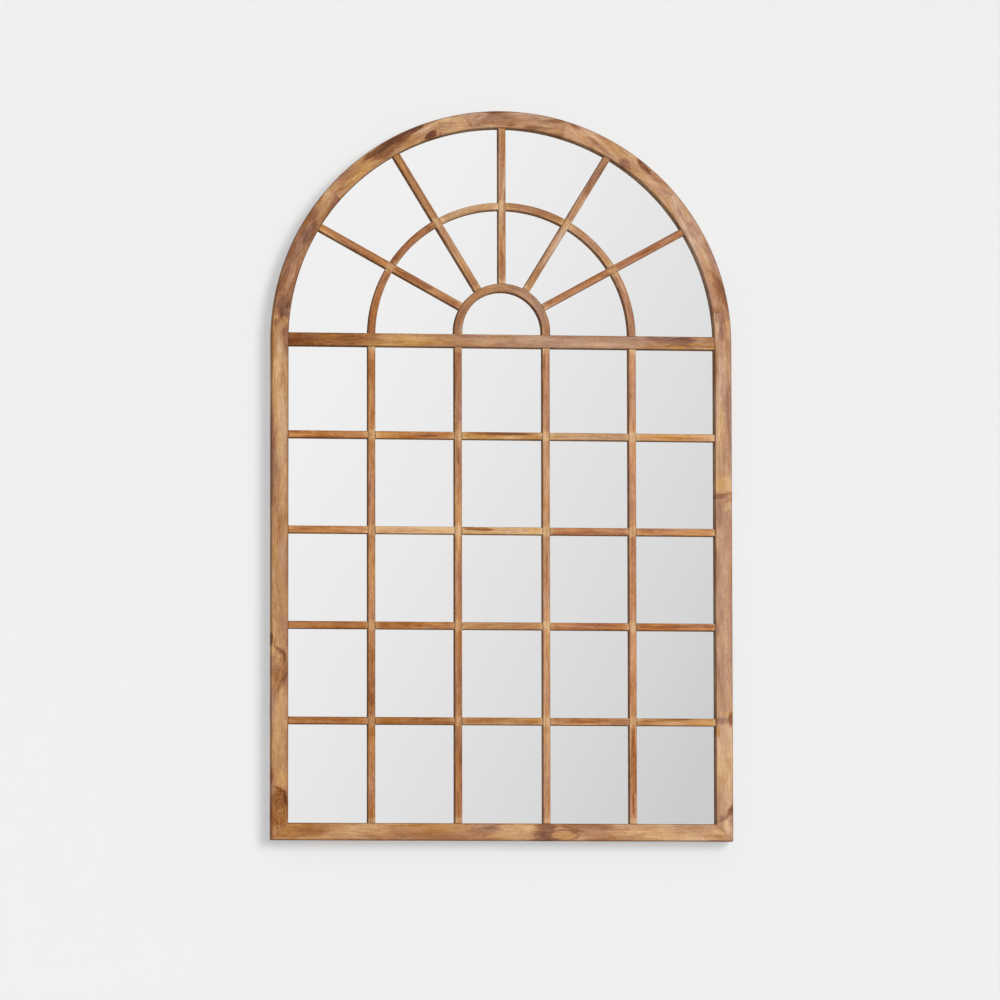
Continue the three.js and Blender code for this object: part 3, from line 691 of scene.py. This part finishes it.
# Tone, warmth, seed, and marks by their angle round the arch, their distance out, how far they
# lean inwards from the grain, and the rest as for any mark
segments = [
    (0.44, 0.35, 12.0, [
        (165, 10, 0, 45, 7, 0.30, 0.15), (164, -6, 0, 30, 8, 0.52, 0.5), (158, 16, 0, 32, 4, 0.24, 0.8),
        (151, -5, 0, 38, 14, 0.26, 0.15, 0.9), (147, 9, 0, 26, 9, 0.20, 0.3, 0.9), first_joint,
        (142.5, 19, 0, 32, 4, 0.30, 0.7),
    ]),
    (0.66, 0.50, 13.0, [
        first_joint, (135, -11, 0, 34, 5, 0.46, 0.5, 0.6), (118, 12, 0, 100, 16, 0.16, 0.5, 0.98, 1.0, 0.3),
        (121.5, -4, 0, 48, 12, 0.26, 0.4, 0.9), (114, -9, 0, 36, 9, 0.52, 0.85, 0.9), second_joint,
        (109.2, -12, 0, 18, 9, 0.18, 0.3, 0.95, 2.0, 0.35),
    ]),
    (0.65, 0.16, 14.0, [
        second_joint, (102, 2, 0, 44, 24, 0.85, 0.50, 0.85), (98.6, -4, 50, 18, 4, 0.46, 0.6, 0.7),
        (96.5, 8, -30, 16, 4, 0.40, 0.4, 0.7), (92, 19, 0, 26, 4, 0.26, 0.5),
        (90, -8, 0, 34, 8, 0.50, 0.0, 0.7), (87.5, -13, 0, 14, 6, 0.32, 0.1),
        (86, 8, 20, 22, 4, 0.66, 0.3, 0.6), (81.5, -14, 0, 26, 6, 0.34, 0.1, 0.7),
        (80.5, 8, 25, 30, 4, 0.36, 0.2, 0.7), third_joint, (76.5, 15, 0, 28, 6, 0.30, 0.3),
    ]),
    (0.78, 0.38, 15.0, [
        third_joint, (71.5, 18, 0, 26, 5, 0.28, 0.5), (66, 6, 0, 46, 7, 0.83, 0.45, 0.9),
        (63, -6, 6, 50, 4, 0.54, 0.35, 0.7), (59, 8, 0, 40, 5, 0.72, 0.6),
        (55.5, -12, 0, 20, 10, 0.40, 0.0, 0.85),
        (51, 14, 14, 26, 9, 0.16, 0.5, 0.98), (47.5, -4, 8, 36, 9, 0.93, 0.15, 0.9), fourth_joint,
    ]),
    (0.72, 0.12, 16.0, [
        fourth_joint, (35, -4, 0, 30, 5, 0.58, 0.2, 0.7), (30.5, 2, 0, 34, 14, 0.46, 0.0),
        (23.5, -2, 0, 34, 12, 0.78, 0.2), (13.5, 9, 0, 64, 13, 0.36, 0.0, 0.95),
        (14, -12, 0, 50, 7, 0.62, 0.05, 0.6),
    ]),
]
for i, (tone, warmth, seed, marks) in enumerate(segments):
    turn = first_segment_turn - i * segment_turn
    middle = (frame_middle * math.cos(math.radians(turn)), 0.0,
              spring_line + frame_middle * math.sin(math.radians(turn)))
    placed = [arch_mark(turn, *row) for row in marks]
    if i == 0:
        placed.append(left_horn_joint)
    if i == 4:
        placed.append(right_horn_joint)
    dress(f"arch_segment_{i + 1}", wood_finish(
        f"arch segment {i + 1} wood", straight_grain(middle, turn - 90), seed, tone, warmth, frame_edge, placed,
        red=0.15 if i > 2 else 0.0, drift=1.5))


# Transom. A straight rail of the same hardwood between the stiles, level with the springing:
# dark red at the left end, golden, then greyer, and purplish with orange spots at the right end.
transom_half = 0.017
transom_end = 0.565
bar_arris = 0.0012


def end_line(tree, along, half):
    """The dark glue line at the ends of a member."""
    return ease(tree, absolute(tree, along), half - joint_line, half - 0.0006)


def member_edge(half, half_length):
    def edge(tree, grain):
        along, depth, across = parts_of(tree, grain)
        # Painted shade along the arrises, and the dark glue lines at the ends
        edge_here = multiply(tree, arris_nearness(tree, across, half, bar_arris), arris_shade_and_joint)
        return larger(tree, edge_here, multiply(tree, end_line(tree, along, half_length), arris_shade_and_joint))
    return edge


dress("transom_rail", wood_finish(
    "transom wood", straight_grain((0.0, 0.0, spring_line), 0),
    21.0, 0.63, 0.40, member_edge(transom_half, transom_end), drift=1.2, fineness=1.5, marks=[
        (-510, 25, 0, 200, 40, 0.21, 0.8, 0.9), (-505, 34, 0, 30, 7, 0.36, 0.1, 0.5),
        (-425, 30, 20, 62, 5, 0.20, 0.7), (-240, 21, 3, 130, 16, 0.66, 0.9),
        (-370, 40, 0, 62, 4, 0.30, 0.7, 0.6), (-100, 25, 0, 32, 14, 0.56, 0.6, 0.5),
        (-47, 22, 8, 34, 9, 0.72, 0.7, 0.5), (205, 25, 0, 200, 30, 0.68, 0.05),
        (385, 32, 0, 42, 10, 0.58, 0.1, 0.6), (462, 30, 172, 80, 17, 0.29, 0.05, 0.9),
        (466, 13, 0, 26, 5, 0.60, 0.9), (516, 22, 0, 24, 6, 0.62, 0.9),
        (554, 22, 90, 20, 14, 0.50, 0.9, 0.7),
    ]))


# Glazing bars. Four vertical bars run whole from the bottom rail to the transom, and five short
# cross bars fill each row between them. They were sanded flush where they meet, which left the
# wood paler round every joint. The left ones are more orange, the right ones paler.
bar_places = [-0.3455, -0.1165, 0.1165, 0.3455]
row_heights = [-0.2255, -0.476, -0.7265, -0.977]
bar_half = 0.0095
bar_foot = -1.245
bar_head = 0.008
sanded_reach = 0.020
sanded_end = 0.018
bar_drift = 1.3
bar_fineness = 3.0


def sanded_rows(tree, grain):
    height = parts_of(tree, object_place(tree))[2]
    nearest = None
    for row in (*row_heights, bar_foot, bar_head):
        away = absolute(tree, subtract(tree, height, row))
        nearest = away if nearest is None else smaller(tree, nearest, away)
    return ease(tree, nearest, sanded_reach, 0.4 * sanded_reach)


def dress_bar(name, title, lay_grain, seed, half_length, sanded, tone, warmth, red, marks=()):
    """Gives one slender bar its finish, which is fine grained and uneven in tone."""
    dress(name, wood_finish(
        title + " wood", lay_grain, seed, tone, warmth, member_edge(bar_half, half_length), marks,
        sanded=sanded, red=red, drift=bar_drift, fineness=bar_fineness))


# Tone, warmth, redness and marks of each, from the left
vertical_bars = [
    (0.54, 0.68, 0.4, [
        (-345, -62, 90, 36, 10, 0.30, 0.8), (-342, -120, 90, 90, 8, 0.44, 0.6, 0.5),
        (-345, -350, 90, 100, 10, 0.68, 0.65, 0.8), (-343, -300, 90, 24, 5, 0.44, 0.7, 0.6),
        (-345, -600, 90, 100, 10, 0.66, 0.6, 0.7), (-345, -860, 90, 110, 12, 0.42, 0.65, 0.8),
        (-342, -812, 90, 24, 5, 0.26, 0.8, 0.7), (-347, -922, 90, 18, 6, 0.24, 0.6, 0.7),
    ]),
    (0.54, 0.62, 0.35, [
        (-116, -80, 90, 110, 14, 0.35, 0.35, 0.9), (-117, -400, 90, 160, 12, 0.78, 0.6, 0.9),
        (-117, -280, 90, 28, 5, 0.38, 0.5, 0.7), (-113, -860, 90, 100, 5, 0.40, 0.5),
        (-117, -1110, 90, 120, 12, 0.38, 0.65, 0.7),
    ]),
    (0.70, 0.50, 0.35, [
        (117, -100, 90, 120, 12, 0.63, 0.45, 0.7), (117, -325, 90, 60, 9, 0.80, 0.35, 0.7),
        (114, -600, 90, 80, 4, 0.54, 0.5, 0.6),
    ]),
    (0.68, 0.50, 0.6, [
        (346, -100, 90, 90, 12, 0.74, 0.4, 0.7), (343, -560, 90, 90, 4, 0.50, 0.7, 0.6),
        (346, -640, 90, 60, 9, 0.60, 0.6, 0.7), (346, -905, 90, 90, 12, 0.57, 0.6, 0.8),
        (346, -1100, 90, 110, 8, 0.30, 0.65, 0.9),
    ]),
]
for i, (x, looks) in enumerate(zip(bar_places, vertical_bars)):
    dress_bar(f"vertical_bar_{i + 1}", f"vertical bar {i + 1}",
              straight_grain((x, 0.0, (bar_foot + bar_head) / 2), 90), 31.0 + i,
              (bar_head - bar_foot) / 2, sanded_rows, *looks)

# From the left in each row: tone, warmth, redness and marks
cross_bars = [
    [
        (0.57, 0.95, 0.6, [(-480, -232, 0, 60, 5, 0.28, 0.9, 0.8)]),
        (0.67, 0.95, 0.6, [(-215, -228, 2, 60, 4, 0.36, 0.9)]),
        (0.62, 0.9, 0.1, [(-10, -220, 0, 85, 4, 0.28, 0.8, 0.9), (25, -230, 0, 30, 4, 0.80, 0.8)]),
        (0.75, 0.55, 0.0), (0.74, 0.7, 0.4, [(450, -228, 0, 50, 4, 0.50, 0.8, 0.7)]),
    ],
    [
        (0.67, 0.9, 0.6, [(-500, -472, 0, 50, 5, 0.36, 0.9, 0.8)]), (0.90, 0.75, 0.15),
        (0.84, 0.75, 0.05, [(-70, -471, 176, 50, 5, 0.36, 0.8, 0.9)]),
        (0.56, 0.6, 0.75, [(220, -480, 0, 60, 4, 0.46, 0.5, 0.7)]),
        (0.60, 0.8, 0.7, [(420, -472, 0, 50, 4, 0.48, 0.9, 0.8)]),
    ],
    [
        (0.46, 0.85, 0.5), (0.50, 0.85, 0.4), (0.63, 0.7, 0.1),
        (0.56, 0.75, 0.8, [(260, -722, 0, 50, 4, 0.42, 0.7, 0.7)]),
        (0.44, 0.72, 0.85, [(520, -730, 0, 40, 6, 0.58, 0.6, 0.7)]),
    ],
    [
        (0.38, 0.9, 0.35, [(-500, -983, 0, 60, 4, 0.26, 0.9, 0.7)]),
        (0.46, 0.8, 0.25, [(-170, -977, 0, 50, 7, 0.36, 0.9, 0.6)]), (0.61, 0.7, 0.15),
        (0.54, 0.6, 0.4, [(230, -975, 2, 60, 6, 0.36, 0.6, 0.7)]),
        (0.62, 0.8, 0.3, [(440, -972, 3, 70, 3, 0.38, 0.9)]),
    ],
]
column_edges = [-0.565, *bar_places, 0.565]


def sanded_ends(half_length, oiled_left_end):
    def sanded(tree, grain):
        along = parts_of(tree, grain)[0]
        away = along if oiled_left_end else absolute(tree, along)
        return ease(tree, away, half_length - sanded_end, half_length)
    return sanded


for row, height in enumerate(row_heights):
    for column, looks in enumerate(cross_bars[row]):
        left_end = column_edges[column] + (bar_half if column > 0 else 0.0)
        right_end = column_edges[column + 1] - (bar_half if column < 4 else 0.0)
        half_length = (right_end - left_end) / 2
        # The ends at the left stile kept their oil
        dress_bar(f"cross_bar_row{row + 1}_col{column + 1}", f"cross bar {row + 1}.{column + 1}",
                  straight_grain(((left_end + right_end) / 2, 0.0, height), 0), 41.0 + 5 * row + column,
                  half_length, sanded_ends(half_length, oiled_left_end=column == 0), *looks)


# Hub arc. One piece bent round the centre of the fanlight, on short straight feet. Purplish at
# the left foot and greyish tan over the crown.
hub_centre = (0.0, 0.0, 0.05)
hub_radius = 0.1165
hub_half = 0.011


def bent_grain(centre, radius):
    """Grain that follows an arc: x goes round it, y into the wall, z outwards."""
    def lay(tree):
        x, y, z = parts_of(tree, vector_step(tree, "SUBTRACT", object_place(tree), centre))
        turn = calculate(tree, "ARCTAN2", x, z)
        length = length_of(tree, x, z)
        along = multiply(tree, turn, radius)
        return add_node(tree, "CombineXYZ", {0: along, 1: y, 2: subtract(tree, length, radius)}).outputs[0]
    return lay


dress("hub_arc", wood_finish(
    "hub wood", bent_grain(hub_centre, hub_radius), 71.0, 0.56, 0.40,
    # Painted shade along the arrises of the hub
    lambda tree, grain: arris_nearness(tree, parts_of(tree, grain)[2], hub_half, bar_arris), marks=[
        (-112, 75, 80, 46, 16, 0.47, 0.2), (-20, 166, 8, 50, 10, 0.60, 0.5, 0.6),
        (48, 156, -28, 46, 14, 0.55, 0.15, 0.7), (102, 98, -66, 56, 14, 0.43, 0.0, 0.9),
    ]))


# Spokes. Five straight bars, coped at both ends, that run whole from the hub to the arch. The
# leftmost is red-brown and dark about its middle, the next orange, the third and fourth paler
# and golden, the last a deeper brown. Each is paler where the fan arcs were sanded flush with it.
spoke_centre = Vector((0.0, 0.0, 0.056))
spoke_turns = [151.15, 121.4, 90.0, 58.6, 28.85]
spoke_start = 0.122
spoke_end = 0.545
fan_centre = (0.0, 0.0, 0.037)
fan_radius = 0.3455
sanded_foot = (-0.190, -0.205)
sanded_crossing = 0.019
# Longer than any of them, so that no glue line shows at the ends
no_end_line = 10.0
# Tone, warmth, redness, and marks by their distance out and aside
spokes = [
    (0.66, 0.8, 0.45, [(150, 0, 36, 10, 0.57, 0.6), (268, 0, 66, 11, 0.30, 0.5), (420, 5, 90, 4, 0.42, 0.7)]),
    (0.60, 0.62, 0.15, [
        (220, 0, 110, 12, 0.68, 0.4), (150, 0, 40, 12, 0.48, 0.5), (450, -5, 80, 4, 0.36, 0.7),
        (400, -6, 50, 4, 0.40, 0.6),
    ]),
    (0.74, 0.36, 0.15, [(165, 2, 60, 9, 0.42, 0.35), (490, 0, 60, 10, 0.52, 0.3), (300, -6, 70, 3, 0.50, 0.6)]),
    (0.67, 0.34, 0.1, [
        (150, 0, 40, 12, 0.60, 0.55), (262, 0, 60, 12, 0.90, 0.3), (390, 0, 40, 12, 0.80, 0.4),
        (485, 2, 66, 12, 0.42, 0.3),
    ]),
    (0.51, 0.42, 0.45, [(300, 5, 90, 3, 0.36, 0.7), (440, 0, 60, 5, 0.42, 0.5), (170, 3, 40, 6, 0.56, 0.5)]),
]


def sanded_spoke(tree, grain):
    foot = ease(tree, parts_of(tree, grain)[0], *sanded_foot)
    x, y, z = parts_of(tree, vector_step(tree, "SUBTRACT", object_place(tree), fan_centre))
    from_fan = absolute(tree, subtract(tree, length_of(tree, x, z), fan_radius))
    return larger(tree, foot, ease(tree, from_fan, sanded_crossing, 0.4 * sanded_crossing))


for i, (turn, (tone, warmth, red, marks)) in enumerate(zip(spoke_turns, spokes)):
    outwards = Vector((math.cos(math.radians(turn)), 0.0, math.sin(math.radians(turn))))
    sideways = Vector((-outwards.z, 0.0, outwards.x))
    middle = tuple(spoke_centre + outwards * (spoke_start + spoke_end) / 2)
    placed = []
    for far, aside, *rest in marks:
        at = spoke_centre * 1000 + outwards * far + sideways * aside
        placed.append((at.x, at.z, turn, *rest))
    dress_bar(f"spoke_{i + 1}", f"spoke {i + 1}", straight_grain(middle, turn), 81.0 + i,
              no_end_line, sanded_spoke, tone, warmth, red, placed)


# Fan arcs. Six short curved bars between the spokes, the outer two standing on the transom. Their
# ends are cut to the spokes' sides, and paler there from the sanding.
sanded_beside_spoke = (0.028, 0.010)


def sanded_arc_ends(tree, grain):
    """Nearness to the sides of the spokes, which the ends of the arcs meet."""
    x, y, z = parts_of(tree, vector_step(tree, "SUBTRACT", object_place(tree), tuple(spoke_centre)))
    nearest = None
    for turn in spoke_turns:
        across = multiply(tree, x, math.sin(math.radians(turn)))
        across = multiply_add(tree, z, -math.cos(math.radians(turn)), across)
        away = absolute(tree, across)
        nearest = away if nearest is None else smaller(tree, nearest, away)
    return ease(tree, nearest, *sanded_beside_spoke)


# Tone, warmth and redness of each, from the left
fan_arcs = [
    (0.43, 0.62, 0.45), (0.37, 0.56, 0.35), (0.75, 0.43, 0.0),
    (0.62, 0.60, 0.15), (0.72, 0.48, 0.2), (0.64, 0.32, 0.2),
]
for i, looks in enumerate(fan_arcs):
    dress_bar(f"fan_arc_{i + 1}", f"fan arc {i + 1}", bent_grain(fan_centre, fan_radius), 91.0 + i,
              no_end_line, sanded_arc_ends, *looks)


# Mirror. One sheet of silvered float glass behind all the bars, clean but for a trace of the
# last wipe.
silvering, tree = new_material("silvered glass")
stroke = vector_step(tree, "MULTIPLY", object_place(tree), (5.0, 1.0, 2.0))
wiped = noise(tree, stroke, detail=4.0, distortion=1.5)
dust = noise(tree, object_place(tree), 900.0)
shine = blend(tree, ease(tree, wiped, 0.3, 0.75), grey(mirror_shine), grey(mirror_shine * (1 - unevenness)))
haze = multiply_add(tree, dust, 0.006, ease(tree, wiped, 0.35, 0.8, 0.010, 0.018))
principled_surface(tree, {"Base Color": shine, "Metallic": 1.0, "Roughness": haze})
dress("mirror_glass", silvering)


# Backing board. A sheet of brown fibreboard that lies on the back of the glass. Round the arch,
# where no bead can go, flat steel points pressed into the rebate hold it.
point_turns = [165, 140, 115, 90, 65, 40, 15]
point_radius = 0.576
point_length = 0.016
point_width = 0.007
point_thickness = 0.0008
point_outline = [(-0.5, -0.25), (-0.5, 0.25), (-0.1, 0.5), (0.3, 0.5), (0.5, 0.0), (0.3, -0.5), (-0.1, -0.5)]
board_back = -0.014

fibreboard, tree = new_material("brown fibreboard")
place = object_place(tree)
fibres = noise(tree, place, 420.0, 6.0, 0.7, 1.2)
clouds = noise(tree, place, 5.0, 3.0)
brown = ramp(tree, fibres, [
    (0.25, colour(84, 62, 44)), (0.55, colour(116, 88, 62)), (0.85, colour(146, 116, 86)),
])
brown = blend(tree, ease(tree, clouds, 0.35, 0.7, 0.0, 0.25), brown, colour(96, 72, 52))
press = add_node(tree, "Bump", {"Height": fibres, "Distance": 0.0002, "Strength": 0.5})
principled_surface(tree, {
    "Base Color": brown, "Roughness": ease(tree, fibres, 0.3, 0.8, 0.8, 0.92), "Normal": press.outputs[0],
})
dress("backing_board", fibreboard)

zinc, tree = new_material("zinc plated steel")
spangle = noise(tree, object_place(tree), 380.0, 4.0)
plated = ramp(tree, spangle, [(0.3, grey(0.42)), (0.6, grey(0.56)), (0.8, grey(0.66))])
principled_surface(tree, {
    "Base Color": plated, "Metallic": 1.0, "Roughness": ease(tree, spangle, 0.3, 0.8, 0.28, 0.45),
    "Normal": add_node(tree, "Bump", {"Height": spangle, "Distance": 0.00005, "Strength": 0.4}).outputs[0],
})


def flat_piece(name, outline, y_front, y_back, material):
    """A flat piece from its outline of x and z, between two depths."""
    shape = bmesh.new()
    face = shape.faces.new([shape.verts.new((x, y_front, z)) for x, z in outline])
    moved = bmesh.ops.extrude_face_region(shape, geom=[face])["geom"]
    for vert in (part for part in moved if isinstance(part, bmesh.types.BMVert)):
        vert.co.y = y_back
    bmesh.ops.recalc_face_normals(shape, faces=shape.faces)
    return mesh_piece(name, shape, material)


for i, turn in enumerate(point_turns):
    outwards = Vector((math.cos(math.radians(turn)), math.sin(math.radians(turn))))
    sideways = Vector((-outwards.y, outwards.x))
    middle = Vector((0.0, spring_line)) + outwards * point_radius
    outline = [middle + outwards * point_length * along + sideways * point_width * across
               for along, across in point_outline]
    point = flat_piece(f"board_point_{i + 1}", outline, board_back, board_back + point_thickness, zinc)
    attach(point, "mirror_frame")


# Beads. Three plain strips of the same wood, left bare, that hold the board in the rebate. Each
# is fixed with small round-headed pins.
pin_radius = 0.0012
pin_rise = 0.0003
pin_sides = 16
pin_spacing = 0.25
for i, (name, middle, turn) in enumerate((
    ("left_bead", (-0.573, 0.0, -0.6), 90), ("right_bead", (0.573, 0.0, -0.6), 90),
    ("bottom_bead", (0.0, 0.0, -1.2537), 0),
)):
    dress(name, wood_finish(
        name.replace("_", " ") + " wood", straight_grain(middle, turn),
        101.0 + i, 0.52, 0.6, lambda tree, grain: 0.0))
    low, high = (Vector(corner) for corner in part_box(name))
    middle, size = (low + high) / 2, high - low
    run = max(size.x, size.z)
    count = int(run // pin_spacing)
    for k in range(count):
        slide = (k - (count - 1) / 2) * pin_spacing
        at = middle + (Vector((slide, 0, 0)) if size.x > size.z else Vector((0, 0, slide)))
        turns = [math.tau * n / pin_sides for n in range(pin_sides)]
        outline = [(at.x + pin_radius * math.cos(turn), at.z + pin_radius * math.sin(turn)) for turn in turns]
        pin = flat_piece(f"{name}_pin_{k + 1}", outline, high.y - pin_rise, high.y + pin_rise, zinc)
        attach(pin, "mirror_frame")


# D-ring hangers. Zinc plated steel straps, folded round the straight side of a wire ring and
# held to the back of each stile by two screws with a crossed recess.
recess_reach = 0.0022
recess_half = 0.00045
recess_rise = 0.00006

# Painted shade: each crossed recess is a thin near-black cross laid on the screw head, standing in for the
# shade inside it
recess_shade, tree = new_material("screw recess")
recess_mottle = noise(tree, object_place(tree), 1500.0, 3.0)
principled_surface(tree, {
    "Base Color": ramp(tree, recess_mottle, [(0.3, grey(0.02)), (0.7, grey(0.06))]), "Metallic": 0.6,
    "Roughness": ease(tree, recess_mottle, 0.3, 0.7, 0.5, 0.7),
})

for side in ("left", "right"):
    for part in ("hanger_strap", "hanger_ring", "strap_screw_upper", "strap_screw_lower"):
        dress(f"{side}_{part}", zinc)
    for part in ("upper", "lower"):
        low, high = (Vector(corner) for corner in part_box(f"{side}_strap_screw_{part}"))
        middle = (low + high) / 2
        a, b = recess_reach, recess_half
        cross = [(-b, -a), (b, -a), (b, -b), (a, -b), (a, b), (b, b),
                 (b, a), (-b, a), (-b, b), (-a, b), (-a, -b), (-b, -b)]
        recess = flat_piece(f"{side}_{part}_screw_recess", [(middle.x + x, middle.z + z) for x, z in cross],
                            high.y - recess_rise, high.y + recess_rise, recess_shade)
        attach(recess, "mirror_frame")


# Wall bumpers. Two soft grey rubber discs that keep the foot of the frame off the wall.
rubber, tree = new_material("grey rubber")
bloom = noise(tree, object_place(tree), 700.0, 4.0)
principled_surface(tree, {
    "Base Color": ramp(tree, bloom, [(0.3, grey(0.055)), (0.7, grey(0.085))]),
    "Roughness": ease(tree, bloom, 0.3, 0.7, 0.75, 0.9),
    "Normal": add_node(tree, "Bump", {"Height": bloom, "Distance": 0.0001, "Strength": 0.4}).outputs[0],
})
for side in ("left", "right"):
    dress(f"{side}_wall_bumper", rubber)
